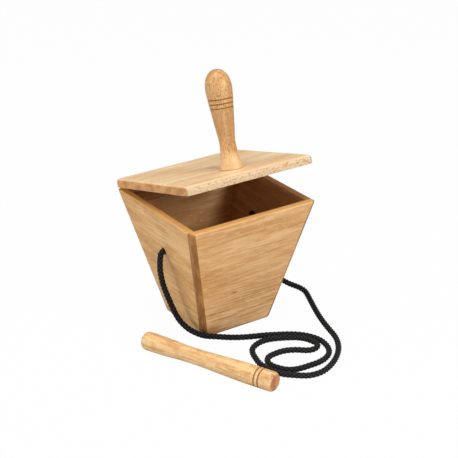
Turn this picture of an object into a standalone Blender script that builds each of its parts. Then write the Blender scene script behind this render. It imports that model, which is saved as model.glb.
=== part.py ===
"""Cajita: a hopper-shaped wooden box drum with a hinged lid, a neck cord and a beater.

Metres, +Z up. The origin is the centre of the box's underside. The front board faces -Y, and the lid
is hinged along the back. The lid stands ajar, and the beater and the cord lie on the surface that the
box stands on.
"""
import math

import bmesh
import bpy
import numpy as np
from mathutils import Matrix, Vector

# Clearance between pieces that touch
GAP = 0.0003

# Box
TOP_WIDTH = 0.190
TOP_DEPTH = 0.1866
BOTTOM_WIDTH = 0.104
BOTTOM_DEPTH = 0.0975
BOX_HEIGHT = 0.1755
WALL = 0.010
BOTTOM_BOARD = 0.008
CORNER_ROUND = 0.006
RIM_ROUND = 0.0025
BASE_ROUND = 0.0040

# Lid, as it closes on the rim
LID_THICKNESS = 0.0114
LID_OVERHANG = 0.0
LID_CORNER_ROUND = 0.006
LID_TOP_ROUND = 0.0050
LID_OPEN_DEG = 15.3

# Turned handle: heights above the lid, and radii
HANDLE_FRONT = 0.0453
HANDLE_LENGTH = 0.1272
HANDLE_FOOT = 0.0153
HANDLE_WAIST = 0.01035
HANDLE_HEAD = 0.01715
HANDLE_WAIST_HEIGHT = 0.031
HANDLE_HEAD_HEIGHT = 0.102
HANDLE_DOME_FULLNESS = 2.15
HANDLE_GROOVES = (0.0785, 0.0841, 0.0899)
# How the grip swells from its waist to its head: (share of the height, share of the swell)
HANDLE_SWELL = ((0.80, 0.85), (0.62, 0.635), (0.44, 0.43), (0.26, 0.22))
# How the foot flares below the waist: (share of the waist's height, share of the flare)
HANDLE_FLARE = ((0.77, 0.12), (0.56, 0.26), (0.35, 0.50), (0.14, 0.81))

# Handle screw, driven up through the lid
SCREW_HEAD = 0.0040
SCREW_HEAD_DEPTH = 0.0026
SCREW_SHANK = 0.0020
SCREW_LENGTH = 0.036
SCREW_TIP = 0.005
SCREW_SINK = 0.0004

# Butt hinges on the back
HINGE_X = 0.055
HINGE_WIDTH = 0.024
LEAF_LENGTH = 0.0085
LEAF_THICKNESS = 0.0011
KNUCKLE = 0.0021
PIN = 0.0009
PIN_PLAY = 0.0003
PIN_HEAD = 0.0013
PIN_HEAD_DEPTH = 0.0008

# Hinge screws
SMALL_HEAD = 0.0019
SMALL_HEAD_DEPTH = 0.0009
SMALL_SHANK = 0.0010
SMALL_LENGTH = 0.0075
SMALL_TIP = 0.0020
SMALL_SPACING = 0.015
SMALL_FROM_PIN = 0.0055
SMALL_SINK = 0.0001

# Neck cord and its stopper knots
CORD = 0.0076
CORD_LIFT = 0.0001
CORD_HOLE_PLAY = 0.0007
HOLE_HEIGHT = 0.116
KNOT_RADIUS = 0.0090
KNOT_DEPTH = 0.0130
KNOT_FACE = 0.0045
KNOT_TOP_DEG = 75.0
KNOT_FOOT_DEG = -60.0
TAIL_RADIUS = 0.0037
TAIL_LENGTH = 0.0150
TAIL_LEAN_DEG = 60.0

# Beater: places along it are measured from its left end
BEATER_LENGTH = 0.2012
BEATER_RIGHT_END = 0.0127
BEATER_LEFT_END = 0.0122
BEATER_WAIST = 0.0103
BEATER_LEFT_ROUND = 0.0075
BEATER_RIGHT_ROUND = 0.0060
BEATER_ROUND_DEG = 80.0
BEATER_GROOVES = (0.1758, 0.1815)
BEATER_LEFT_X = -0.1294
BEATER_LEFT_Y = -0.0260
BEATER_HEADING_DEG = -67.55
# How it swells from its waist to its right end's radius: (share of the length, share of the swell)
BEATER_SWELL = (
    (0.85, 1.0), (0.77, 0.94), (0.70, 0.79), (0.56, 0.36), (0.49, 0.15), (0.41, 0.0), (0.34, 0.03),
    (0.27, 0.22), (0.20, 0.52), (0.12, 0.73),
)

# Turned grooves
GROOVE_WIDTH = 0.0014
GROOVE_DEPTH = 0.0007

# The cord's middle line: down from the left hole, across the surface, and up to the right hole
CORD_FALL = [
    (-0.0843, -0.0003, 0.1139), (-0.0866, -0.0014, 0.1103), (-0.0886, -0.0034, 0.1050),
    (-0.0904, -0.0058, 0.0975), (-0.0902, -0.0072, 0.0856), (-0.0852, -0.0074, 0.0643),
    (-0.0782, -0.0105, 0.0411), (-0.0718, -0.0160, 0.0220), (-0.0675, -0.0311, 0.0130),
    (-0.0625, -0.0450, 0.0100), (-0.0559, -0.0550, 0.0084), (-0.0449, -0.0617, 0.0068),
    (-0.0320, -0.0698, 0.0053), (-0.0163, -0.0790, 0.0044),
]
CORD_LAID = [
    (0.0000, -0.0861), (0.0156, -0.0930), (0.0317, -0.1019), (0.0477, -0.1125), (0.0594, -0.1267),
    (0.0653, -0.1445), (0.0636, -0.1598), (0.0576, -0.1734), (0.0449, -0.1843), (0.0291, -0.1890),
    (0.0139, -0.1890), (-0.0008, -0.1878), (-0.0126, -0.1827), (-0.0197, -0.1733),
    (-0.0235, -0.1630), (-0.0230, -0.1520), (-0.0152, -0.1423), (-0.0037, -0.1397),
    (0.0092, -0.1400), (0.0202, -0.1442), (0.0281, -0.1497), (0.0354, -0.1559), (0.0437, -0.1583),
    (0.0521, -0.1554), (0.0563, -0.1479), (0.0556, -0.1411), (0.0534, -0.1333), (0.0492, -0.1262),
    (0.0419, -0.1192), (0.0314, -0.1127), (0.0187, -0.1067), (0.0060, -0.1035), (-0.0077, -0.1057),
    (-0.0198, -0.1129), (-0.0266, -0.1239), (-0.0304, -0.1359), (-0.0335, -0.1498),
    (-0.0327, -0.1630), (-0.0298, -0.1758), (-0.0241, -0.1877), (-0.0141, -0.1979),
    (-0.0014, -0.2077), (0.0154, -0.2107), (0.0336, -0.2053), (0.0516, -0.1941), (0.0666, -0.1805),
    (0.0778, -0.1658), (0.0862, -0.1494), (0.0913, -0.1323), (0.0973, -0.1105), (0.1060, -0.0845),
    (0.1169, -0.0573), (0.1267, -0.0341), (0.1324, -0.0159), (0.1313, -0.0022), (0.1279, 0.0113),
    (0.1263, 0.0257),
]
CORD_RISE = [
    (0.1238, 0.0388, 0.0039), (0.1175, 0.0480, 0.0052), (0.1100, 0.0522, 0.0100),
    (0.1052, 0.0492, 0.0200), (0.1021, 0.0390, 0.0334), (0.1002, 0.0270, 0.0531),
    (0.0981, 0.0145, 0.0796), (0.0957, 0.0070, 0.0988), (0.0934, 0.0036, 0.1075),
    (0.0878, 0.0009, 0.1134),
]
CORD_STEP = 0.0168
CORD_BEND_WEIGHT = 0.010

# Worked out from the driving dimensions
WIDTH_SLOPE = (TOP_WIDTH - BOTTOM_WIDTH) / 2 / BOX_HEIGHT
DEPTH_SLOPE = (TOP_DEPTH - BOTTOM_DEPTH) / 2 / BOX_HEIGHT
WIDTH_LEAN = math.atan(WIDTH_SLOPE)
DEPTH_LEAN = math.atan(DEPTH_SLOPE)
SIDE_RUN = WALL / math.cos(WIDTH_LEAN)
FRONT_RUN = WALL / math.cos(DEPTH_LEAN)
LEAF_REACH = KNUCKLE + GAP
PIVOT_Y = TOP_DEPTH / 2 + LID_OVERHANG + LEAF_REACH
PIVOT_Z = BOX_HEIGHT - (LEAF_REACH / math.cos(DEPTH_LEAN) - (PIVOT_Y - TOP_DEPTH / 2)) / DEPTH_SLOPE
LID_BASE = BOX_HEIGHT + GAP
LID_TOP = LID_BASE + LID_THICKNESS
HANDLE_Y = -TOP_DEPTH / 2 - LID_OVERHANG + HANDLE_FRONT

# Facets of round shapes, and points of curved outlines
EDGE_STEPS = 3
SMALL_STEPS = 16
HOLE_STEPS = 20
TURN_STEPS = 28
DOME_STEPS = 9
KNOT_POINTS = 8
OUTLINE_POINTS = 24
CURVE_SAMPLES = 60

# A cutter's length over the thickness that it cuts through
THROUGH = 3.0
# The least cosine between an edge and the axis that it runs along
ALONG = 0.9

WOOD_PALE = (0.62, 0.40, 0.20)
WOOD_TAN = (0.50, 0.30, 0.13)
BRASS = (0.70, 0.50, 0.20)
STEEL = (0.55, 0.55, 0.56)
CORD_BLACK = (0.012, 0.012, 0.013)


def clear_scene():
    """Remove every object of the open scene."""
    for item in list(bpy.data.objects):
        bpy.data.objects.remove(item, do_unlink=True)


def new_collection(name):
    """Make a collection in the scene."""
    group = bpy.data.collections.new(name)
    bpy.context.scene.collection.children.link(group)
    return group


def finish(name, colour, roughness, metallic=0.0):
    """Make a sub-part's own material."""
    material = bpy.data.materials.new(name)
    material.use_nodes = True
    shader = material.node_tree.nodes["Principled BSDF"]
    shader.inputs["Base Color"].default_value = (*colour, 1.0)
    shader.inputs["Roughness"].default_value = roughness
    shader.inputs["Metallic"].default_value = metallic
    return material


def add_mesh(name, bm, group, material=None):
    """Turn a bmesh into an object in a collection."""
    mesh = bpy.data.meshes.new(name)
    bmesh.ops.recalc_face_normals(bm, faces=bm.faces)
    bm.to_mesh(mesh)
    bm.free()
    if material:
        mesh.materials.append(material)
    item = bpy.data.objects.new(name, mesh)
    group.objects.link(item)
    return item


def slab(x_low, x_high, y_low, y_high, z_low, z_high):
    """Box whose sides may lean: each side bound is (place at z = 0, slope)."""
    bm = bmesh.new()
    bmesh.ops.create_cube(bm, size=1)
    for vert in bm.verts:
        height = z_high if vert.co.z > 0 else z_low
        across = x_high if vert.co.x > 0 else x_low
        along = y_high if vert.co.y > 0 else y_low
        vert.co = (across[0] + across[1] * height, along[0] + along[1] * height, height)
    return bm


def upright(x_low, x_high, y_low, y_high, z_low, z_high):
    """Box with square sides."""
    return slab((x_low, 0), (x_high, 0), (y_low, 0), (y_high, 0), z_low, z_high)


def round_edges(bm, wanted, radius):
    """Round the edges whose middle and direction pass a test."""
    edges = []
    for edge in bm.edges:
        start, end = edge.verts[0].co, edge.verts[1].co
        if wanted((start + end) / 2, (end - start).normalized()):
            edges.append(edge)
    bmesh.ops.bevel(bm, geom=edges, offset=radius, segments=EDGE_STEPS, profile=0.5, affect="EDGES")


def rod(radius, length, turn, base, steps, tip_radius=None):
    """Cylinder or cone that starts at base and runs along the turned Z axis."""
    bm = bmesh.new()
    end = radius if tip_radius is None else tip_radius
    bmesh.ops.create_cone(bm, cap_ends=True, segments=steps, radius1=radius, radius2=end, depth=length)
    place = Matrix.Translation(base) @ turn @ Matrix.Translation((0, 0, length / 2))
    bmesh.ops.transform(bm, matrix=place, verts=bm.verts)
    return bm


def boolean(item, tool, operation):
    """Cut or join one object with another."""
    step = item.modifiers.new(operation.lower() + "_" + tool.name, "BOOLEAN")
    step.operation = operation
    step.object = tool
    step.solver = "EXACT"


def as_tool(item):
    """Mark an object as a cutter, left out of the model."""
    item.hide_render = True
    item.display_type = "WIRE"
    return item


def turned(name, profile, group, material, steps):
    """Solid of revolution about Z; the profile is (radius, height), from the top down its outer side."""
    bm = bmesh.new()
    verts = [bm.verts.new((radius, 0, height)) for radius, height in profile]
    for first, second in zip(verts, verts[1:]):
        bm.edges.new((first, second))
    mesh = bpy.data.meshes.new(name)
    bm.to_mesh(mesh)
    bm.free()
    mesh.materials.append(material)
    item = bpy.data.objects.new(name, mesh)
    group.objects.link(item)
    lathe = item.modifiers.new("turn", "SCREW")
    lathe.axis = "Z"
    lathe.angle = math.tau
    lathe.steps = steps
    lathe.render_steps = steps
    lathe.use_merge_vertices = True
    lathe.merge_threshold = 0.00002
    lathe.use_smooth_shade = True
    return item


def smooth_curve(points, count, bend_weight=0.0):
    """Read points from the natural cubic curve through the given ones.

    The points are evenly spaced, or closer together in bends where bend_weight, a length, is set.
    """
    given = np.array(points, dtype=float)
    spans = np.linalg.norm(np.diff(given, axis=0), axis=1)
    places = np.concatenate([[0.0], np.cumsum(spans)])
    last = len(given) - 1
    matrix = np.identity(last + 1)
    right = np.zeros_like(given)
    for i in range(1, last):
        matrix[i, i - 1:i + 2] = spans[i - 1], 2 * (spans[i - 1] + spans[i]), spans[i]
        right[i] = 6 * ((given[i + 1] - given[i]) / spans[i] - (given[i] - given[i - 1]) / spans[i - 1])
    bends = np.linalg.solve(matrix, right)
    fine = []
    for place in np.linspace(0.0, places[-1], CURVE_SAMPLES * last):
        i = min(int(np.searchsorted(places, place, side="right")) - 1, last - 1)
        span, before, after = spans[i], places[i + 1] - place, place - places[i]
        cubic = (bends[i] * before ** 3 + bends[i + 1] * after ** 3) / (6 * span)
        start = (given[i] / span - bends[i] * span / 6) * before
        fine.append(cubic + start + (given[i + 1] / span - bends[i + 1] * span / 6) * after)
    fine = np.array(fine)
    steps = np.linalg.norm(np.diff(fine, axis=0), axis=1)
    headings = np.diff(fine, axis=0) / steps[:, None]
    turns = np.linalg.norm(np.diff(headings, axis=0, append=headings[-1:]), axis=1)
    measure = np.concatenate([[0.0], np.cumsum(steps + bend_weight * turns)])
    wanted = np.linspace(0.0, measure[-1], count)
    return np.stack([np.interp(wanted, measure, fine[:, axis]) for axis in range(given.shape[1])], axis=1)


def between(low, high, share):
    """Value at a share of the way from low to high."""
    return low + (high - low) * share


def grooved(profile, grooves):
    """Cut V grooves into a (radius, height) profile that runs from its highest point down."""
    heights = np.array([height for _, height in profile])[::-1]
    radii = np.array([radius for radius, _ in profile])[::-1]
    kept = [p for p in profile if all(abs(p[1] - groove) > GROOVE_WIDTH for groove in grooves)]
    for groove in grooves:
        for offset, depth in ((-GROOVE_WIDTH / 2, 0.0), (0.0, GROOVE_DEPTH), (GROOVE_WIDTH / 2, 0.0)):
            height = groove + offset
            kept.append((float(np.interp(height, heights, radii)) - depth, height))
    return sorted(kept, key=lambda point: (-point[1], point[0]))


def arc(centre_radius, centre_height, radius, start_deg, end_deg, count):
    """Points of a round stretch in a turned profile."""
    angles = [math.radians(between(start_deg, end_deg, i / count)) for i in range(count + 1)]
    return [(centre_radius + radius * math.cos(a), centre_height + radius * math.sin(a)) for a in angles]


def screw_profile(head, head_depth, shank, length, tip):
    """Countersunk screw, its flat head up at height 0."""
    return [(0.0, 0.0), (head, 0.0), (shank, -head_depth), (shank, tip - length), (0.0, -length)]


def inwards(spot):
    """Distances from a spot to the box's outer side face, and to its outer front or back face."""
    side = BOTTOM_WIDTH / 2 + WIDTH_SLOPE * spot.z - abs(spot.x)
    end = BOTTOM_DEPTH / 2 + DEPTH_SLOPE * spot.z - abs(spot.y)
    return side, end


def round_board(bm):
    """Round a wall board's edges where they lie on the outside of the box."""
    near = CORNER_ROUND / 2

    def corner(middle, heading):
        """Edge that runs up a corner of the box."""
        return abs(heading.z) > ALONG and max(inwards(middle)) < near

    def rim(middle, heading):
        """Outer edge of the rim."""
        return middle.z > BOX_HEIGHT - GAP and min(inwards(middle)) < near

    def base(middle, heading):
        """Outer edge of the underside."""
        return middle.z < GAP and min(inwards(middle)) < near

    round_edges(bm, corner, CORNER_ROUND)
    round_edges(bm, rim, RIM_ROUND)
    round_edges(bm, base, BASE_ROUND)


def make_walls(group, tools):
    """The front board covers the side boards' ends, and these cover the back board's ends."""
    half_width, half_depth = BOTTOM_WIDTH / 2, BOTTOM_DEPTH / 2
    left, right = (-half_width, -WIDTH_SLOPE), (half_width, WIDTH_SLOPE)
    front, back = (-half_depth, -DEPTH_SLOPE), (half_depth, DEPTH_SLOPE)
    inner_left = (-half_width + SIDE_RUN, -WIDTH_SLOPE)
    inner_right = (half_width - SIDE_RUN, WIDTH_SLOPE)
    inner_front = (-half_depth + FRONT_RUN, -DEPTH_SLOPE)
    inner_back = (half_depth - FRONT_RUN, DEPTH_SLOPE)
    clear_left = (inner_left[0] + GAP, -WIDTH_SLOPE)
    clear_right = (inner_right[0] - GAP, WIDTH_SLOPE)
    clear_front = (inner_front[0] + GAP, -DEPTH_SLOPE)
    clear_back = (inner_back[0] - GAP, DEPTH_SLOPE)
    boards = {
        "front_board": (left, right, front, inner_front, BOX_HEIGHT),
        "back_board": (clear_left, clear_right, inner_back, back, BOX_HEIGHT),
        "left_board": (left, inner_left, clear_front, back, BOX_HEIGHT),
        "right_board": (inner_right, right, clear_front, back, BOX_HEIGHT),
        "bottom_board": (clear_left, clear_right, clear_front, clear_back, BOTTOM_BOARD),
    }
    walls = {}
    for name, (x_low, x_high, y_low, y_high, height) in boards.items():
        bm = slab(x_low, x_high, y_low, y_high, 0, height)
        round_board(bm)
        walls[name] = add_mesh(name, bm, group, finish(name, WOOD_TAN, 0.45))
    for name, side in (("left_board", -1), ("right_board", 1)):
        start, heading, turn = cord_hole(side)
        drill = rod(CORD / 2 + CORD_HOLE_PLAY, THROUGH * WALL, turn, start + heading * WALL, HOLE_STEPS)
        cutter = as_tool(add_mesh("cord_hole_" + name, drill, tools))
        boolean(walls[name], cutter, "DIFFERENCE")
    return walls


def cord_hole(side):
    """Where the cord hole's axis leaves a side board's outer face, its way out, and a turn from Z inwards."""
    start = Vector((side * (BOTTOM_WIDTH / 2 + WIDTH_SLOPE * HOLE_HEIGHT), 0, HOLE_HEIGHT))
    heading = Vector((side * math.cos(WIDTH_LEAN), 0, -math.sin(WIDTH_LEAN)))
    turn = Vector((0, 0, 1)).rotation_difference(-heading).to_matrix().to_4x4()
    return start, heading, turn


def make_lid(group, tools, pivot):
    """Lid board, its turned handle and the screw that holds the handle."""
    half_width = TOP_WIDTH / 2 + LID_OVERHANG
    half_depth = TOP_DEPTH / 2 + LID_OVERHANG
    bm = upright(-half_width, half_width, -half_depth, half_depth, LID_BASE, LID_TOP)
    round_edges(bm, lambda middle, heading: abs(heading.z) > ALONG, LID_CORNER_ROUND)
    round_edges(bm, lambda middle, heading: middle.z > LID_TOP - GAP, LID_TOP_ROUND)
    lid = add_mesh("lid_board", bm, group, finish("lid_board", WOOD_PALE, 0.4))
    hang(lid, pivot)

    up = Matrix.Identity(4)
    below = Vector((0, HANDLE_Y, LID_BASE - LID_THICKNESS))
    bore = SCREW_SHANK + GAP
    shank = rod(bore, THROUGH * LID_THICKNESS, up, below, HOLE_STEPS)
    sink_length = LID_THICKNESS + SCREW_SINK + SCREW_HEAD_DEPTH + GAP
    spread = (SCREW_HEAD - SCREW_SHANK) / SCREW_HEAD_DEPTH
    sink = rod(bore + spread * sink_length, sink_length, up, below, HOLE_STEPS, bore)
    for name, bm in (("handle_screw_hole", shank), ("handle_screw_sink", sink)):
        cutter = as_tool(add_mesh(name, bm, tools))
        hang(cutter, pivot)
        boolean(lid, cutter, "DIFFERENCE")

    depth = SCREW_LENGTH + SCREW_SINK - LID_THICKNESS + 2 * GAP
    profile = [point for point in handle_profile() if point[1] > 0]
    profile += [(HANDLE_FOOT - GROOVE_DEPTH, 0.0), (bore, 0.0), (bore, depth), (0.0, depth)]
    handle = turned("lid_handle", profile, group, finish("lid_handle", WOOD_TAN, 0.3), TURN_STEPS)
    hang(handle, pivot, (0, HANDLE_Y, LID_TOP + GAP))

    profile = screw_profile(SCREW_HEAD, SCREW_HEAD_DEPTH, SCREW_SHANK, SCREW_LENGTH, SCREW_TIP)
    screw = turned("handle_screw", profile, group, finish("handle_screw", STEEL, 0.35, 1.0), HOLE_STEPS)
    screw.rotation_euler.x = math.pi
    hang(screw, pivot, (0, HANDLE_Y, LID_BASE + SCREW_SINK))
    return lid


def handle_profile():
    """Outline of the handle from its tip down to the foot."""
    dome = HANDLE_LENGTH - HANDLE_HEAD_HEIGHT
    tip = [(0.0, HANDLE_LENGTH)]
    for i in range(1, DOME_STEPS):
        angle = math.radians(90 * i / DOME_STEPS)
        across = math.sin(angle) ** (2 / HANDLE_DOME_FULLNESS)
        up = math.cos(angle) ** (2 / HANDLE_DOME_FULLNESS)
        tip.append((HANDLE_HEAD * across, HANDLE_HEAD_HEIGHT + dome * up))
    stem = [(HANDLE_HEAD, HANDLE_HEAD_HEIGHT)]
    for up, swell in HANDLE_SWELL:
        height = between(HANDLE_WAIST_HEIGHT, HANDLE_HEAD_HEIGHT, up)
        stem.append((between(HANDLE_WAIST, HANDLE_HEAD, swell), height))
    stem.append((HANDLE_WAIST, HANDLE_WAIST_HEIGHT))
    for up, flare in HANDLE_FLARE:
        stem.append((between(HANDLE_WAIST, HANDLE_FOOT, flare), HANDLE_WAIST_HEIGHT * up))
    stem.append((HANDLE_FOOT, GROOVE_DEPTH))
    return grooved(tip + [tuple(point) for point in smooth_curve(stem, OUTLINE_POINTS)], HANDLE_GROOVES)


def beater_profile():
    """Outline of the beater from its right end to its left one."""
    high, low = BEATER_RIGHT_ROUND, BEATER_LEFT_ROUND
    steps = 2 * EDGE_STEPS
    shaft = [(BEATER_RIGHT_END, BEATER_LENGTH - high)]
    for along, swell in BEATER_SWELL:
        shaft.append((between(BEATER_WAIST, BEATER_RIGHT_END, swell), BEATER_LENGTH * along))
    shaft.append((BEATER_LEFT_END, low))
    outline = [(0.0, BEATER_LENGTH)]
    outline += arc(BEATER_RIGHT_END - high, BEATER_LENGTH - high, high, BEATER_ROUND_DEG, 0, steps)
    outline += [tuple(point) for point in smooth_curve(shaft, OUTLINE_POINTS)[1:-1]]
    outline += arc(BEATER_LEFT_END - low, low, low, 0, -BEATER_ROUND_DEG, steps)
    return grooved(outline + [(0.0, 0.0)], BEATER_GROOVES)


def hang(item, pivot, closed_place=(0, 0, 0)):
    """Parent a lid piece to the hinge's empty, by its place with the lid closed."""
    item.parent = pivot
    item.location = Vector(closed_place) - Vector((0, PIVOT_Y, PIVOT_Z))


def make_hinges(group, tools, pivot, walls, lid):
    """Two three-knuckle butt hinges: the box leaf has the outer knuckles, the lid leaf the middle one."""
    half, sixth = HINGE_WIDTH / 2, HINGE_WIDTH / 6
    outer = [(-half, -sixth - GAP), (sixth + GAP, half)]
    middle = [(-sixth, sixth)]
    lean = Matrix.Rotation(-DEPTH_LEAN, 4, "X")
    upside_down = Matrix.Rotation(math.pi, 4, "Y")
    head_y = LEAF_THICKNESS - KNUCKLE - SMALL_SINK
    for label, centre in (("left", -HINGE_X), ("right", HINGE_X)):
        hub = Vector((centre, PIVOT_Y, PIVOT_Z))
        box_leaf = make_leaf("hinge_" + label + "_box_leaf", outer, group, tools)
        box_leaf.location = hub
        box_leaf.rotation_euler = (lean @ upside_down).to_euler()
        lid_leaf = make_leaf("hinge_" + label + "_lid_leaf", middle, group, tools)
        hang(lid_leaf, pivot, hub)

        length = HINGE_WIDTH + 2 * GAP
        top_head = [(0.0, length + PIN_HEAD_DEPTH), (PIN_HEAD, length + PIN_HEAD_DEPTH), (PIN_HEAD, length)]
        low_head = [(PIN_HEAD, 0.0), (PIN_HEAD, -PIN_HEAD_DEPTH), (0.0, -PIN_HEAD_DEPTH)]
        profile = top_head + [(PIN, length), (PIN, 0.0)] + low_head
        name = "hinge_" + label + "_pin"
        pin = turned(name, profile, group, finish(name, STEEL, 0.3, 1.0), SMALL_STEPS)
        pin.rotation_euler.y = math.pi / 2
        pin.location = hub - Vector((half + GAP, 0, 0))

        for number, offset in enumerate((-SMALL_SPACING / 2, SMALL_SPACING / 2), start=1):
            below = hub + lean @ Vector((offset, head_y, -SMALL_FROM_PIN))
            name = f"screw_{label}_box_{number}"
            make_hinge_screw(name, below, lean, group, tools, walls["back_board"])
            above = hub + Vector((offset, head_y, SMALL_FROM_PIN))
            name = f"screw_{label}_lid_{number}"
            make_hinge_screw(name, above, Matrix.Identity(4), group, tools, lid, pivot)


def make_leaf(name, knuckles, group, tools):
    """Leaf standing up from the pin's axis, its wood side towards -Y, with knuckles and screw holes."""
    half = HINGE_WIDTH / 2
    wood, outside = -KNUCKLE, LEAF_THICKNESS - KNUCKLE
    plate = upright(-half, half, wood, outside, LEAF_REACH, LEAF_LENGTH)
    leaf = add_mesh(name, plate, group, finish(name, BRASS, 0.3, 1.0))
    along = Matrix.Rotation(math.pi / 2, 4, "Y")
    inward = Matrix.Rotation(math.pi / 2, 4, "X")
    joined, cut = [], []
    for low, high in knuckles:
        joined.append(rod(KNUCKLE, high - low, along, Vector((low, 0, 0)), HOLE_STEPS))
        joined.append(upright(low, high, wood, outside, 0.0, LEAF_REACH + GAP))
    reach = THROUGH * HINGE_WIDTH
    cut.append(rod(PIN + PIN_PLAY, reach, along, Vector((-reach / 2, 0, 0)), HOLE_STEPS))
    for offset in (-SMALL_SPACING / 2, SMALL_SPACING / 2):
        top = Vector((offset, outside + SMALL_HEAD_DEPTH, SMALL_FROM_PIN))
        wide = SMALL_HEAD + GAP + (SMALL_HEAD - SMALL_SHANK)
        bore = SMALL_SHANK + GAP
        cut.append(rod(wide, 2 * SMALL_HEAD_DEPTH, inward, top, SMALL_STEPS, bore))
        cut.append(rod(bore, SMALL_HEAD_DEPTH + THROUGH * LEAF_THICKNESS, inward, top, SMALL_STEPS))
    for operation, shapes in (("UNION", joined), ("DIFFERENCE", cut)):
        for number, bm in enumerate(shapes):
            tool = as_tool(add_mesh(f"{name}_{operation.lower()}_{number}", bm, tools))
            tool.parent = leaf
            boolean(leaf, tool, operation)
    return leaf


def make_hinge_screw(name, place, lean, group, tools, wood, pivot=None):
    """Small countersunk screw pointing inwards, and its pilot hole in the wood."""
    profile = screw_profile(SMALL_HEAD, SMALL_HEAD_DEPTH, SMALL_SHANK, SMALL_LENGTH, SMALL_TIP)
    screw = turned(name, profile, group, finish(name, BRASS, 0.35, 1.0), SMALL_STEPS)
    screw.rotation_euler = (lean @ Matrix.Rotation(-math.pi / 2, 4, "X")).to_euler()
    inward = lean @ Matrix.Rotation(math.pi / 2, 4, "X")
    pilot = rod(SMALL_SHANK + GAP, SMALL_LENGTH + GAP, inward, place, SMALL_STEPS)
    drill = as_tool(add_mesh(name + "_pilot", pilot, tools))
    if pivot:
        hang(screw, pivot, place)
        hang(drill, pivot)
    else:
        screw.location = place
    boolean(wood, drill, "DIFFERENCE")


def cord_route():
    """Points of the cord's middle line from knot to knot, its two ends on the holes' axes."""
    ends = []
    for side in (-1, 1):
        start, heading, _ = cord_hole(side)
        ends.append([tuple(start - heading * WALL), tuple(start)])
    laid = [(x, y, CORD / 2 + CORD_LIFT) for x, y in CORD_LAID]
    return ends[0] + CORD_FALL + laid + CORD_RISE + ends[1][::-1]


def make_cord(group):
    """Neck cord from hole to hole."""
    route = cord_route()
    length = float(np.linalg.norm(np.diff(np.array(route), axis=0), axis=1).sum())
    points = smooth_curve(route, round(length / CORD_STEP), CORD_BEND_WEIGHT)
    curve = bpy.data.curves.new("neck_cord", "CURVE")
    curve.dimensions = "3D"
    curve.bevel_depth = CORD / 2
    curve.bevel_resolution = 3
    curve.use_fill_caps = True
    line = curve.splines.new("POLY")
    line.points.add(len(points) - 1)
    for spot, point in zip(line.points, points):
        spot.co = (*point, 1.0)
    curve.materials.append(finish("neck_cord", CORD_BLACK, 0.8))
    item = bpy.data.objects.new("neck_cord", curve)
    group.objects.link(item)


def make_knots(group, tools):
    """Stopper knots inside the side boards, each with the cord's short tail leaning back."""
    half = KNOT_DEPTH / 2
    for name, side in (("knot_left", -1), ("knot_right", 1)):
        start, heading, turn = cord_hole(side)
        profile = [(0.0, KNOT_DEPTH)]
        for across, up in arc(0.0, 0.0, 1.0, KNOT_TOP_DEG, KNOT_FOOT_DEG, KNOT_POINTS):
            profile.append((KNOT_RADIUS * across, half + half * up))
        profile += [(KNOT_FACE, 0.0), (0.0, 0.0)]
        knot = turned(name, profile, group, finish(name, CORD_BLACK, 0.8), HOLE_STEPS)
        knot.location = start - heading * (WALL + GAP)
        knot.rotation_euler = turn.to_euler()
        lean = Matrix.Rotation(math.radians(-TAIL_LEAN_DEG), 4, "X")
        tail = rod(TAIL_RADIUS, TAIL_LENGTH, lean, knot.location - heading * half, SMALL_STEPS)
        boolean(knot, as_tool(add_mesh(name + "_tail", tail, tools)), "UNION")


def make_beater(group):
    """Beater lying on the surface in front of the box."""
    beater = turned("beater", beater_profile(), group, finish("beater", WOOD_PALE, 0.3), TURN_STEPS)
    heading = Matrix.Rotation(math.radians(BEATER_HEADING_DEG), 4, "Z")
    flat = Matrix.Rotation(math.pi / 2, 4, "Y")
    beater.rotation_euler = (heading @ flat).to_euler()
    beater.location = (BEATER_LEFT_X, BEATER_LEFT_Y, BEATER_RIGHT_END)


def main():
    """Build the whole instrument."""
    clear_scene()
    group = new_collection("cajita")
    tools = new_collection("cutters")
    pivot = bpy.data.objects.new("lid_axis", None)
    group.objects.link(pivot)
    pivot.location = (0, PIVOT_Y, PIVOT_Z)
    pivot.rotation_euler.x = math.radians(-LID_OPEN_DEG)
    walls = make_walls(group, tools)
    lid = make_lid(group, tools, pivot)
    make_hinges(group, tools, pivot, walls, lid)
    make_cord(group)
    make_knots(group, tools)
    make_beater(group)


main()
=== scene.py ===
"""Looks of a cajita: a hopper-shaped box drum of lacquered hardwood, its hinged lid ajar on a turned
handle, a black braided neck cord and a turned beater. Metres, +Z up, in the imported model's frame."""

import logging
import math
from dataclasses import dataclass, replace
from enum import Enum
from typing import Callable, Sequence, Union

import bmesh
import bpy
import numpy as np
from mathutils import Matrix, Vector


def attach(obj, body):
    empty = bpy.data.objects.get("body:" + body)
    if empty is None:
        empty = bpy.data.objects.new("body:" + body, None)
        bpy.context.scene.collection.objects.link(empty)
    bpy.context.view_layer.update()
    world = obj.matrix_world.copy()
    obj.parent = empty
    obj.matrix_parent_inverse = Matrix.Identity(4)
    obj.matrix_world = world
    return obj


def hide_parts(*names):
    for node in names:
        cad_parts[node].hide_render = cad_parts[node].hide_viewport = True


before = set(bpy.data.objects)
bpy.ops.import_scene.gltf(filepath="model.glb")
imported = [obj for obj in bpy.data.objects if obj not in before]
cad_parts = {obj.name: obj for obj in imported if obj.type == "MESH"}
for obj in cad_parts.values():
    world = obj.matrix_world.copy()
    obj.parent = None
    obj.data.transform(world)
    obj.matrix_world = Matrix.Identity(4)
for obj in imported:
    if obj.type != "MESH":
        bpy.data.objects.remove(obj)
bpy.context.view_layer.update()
LOG = logging.getLogger("cajita")

Colour = tuple[float, float, float]
Point = tuple[float, float, float]
Pair = tuple[float, float]
Profile = list[Pair]
Piece = bpy.types.Object
Finish = bpy.types.Material

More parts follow.
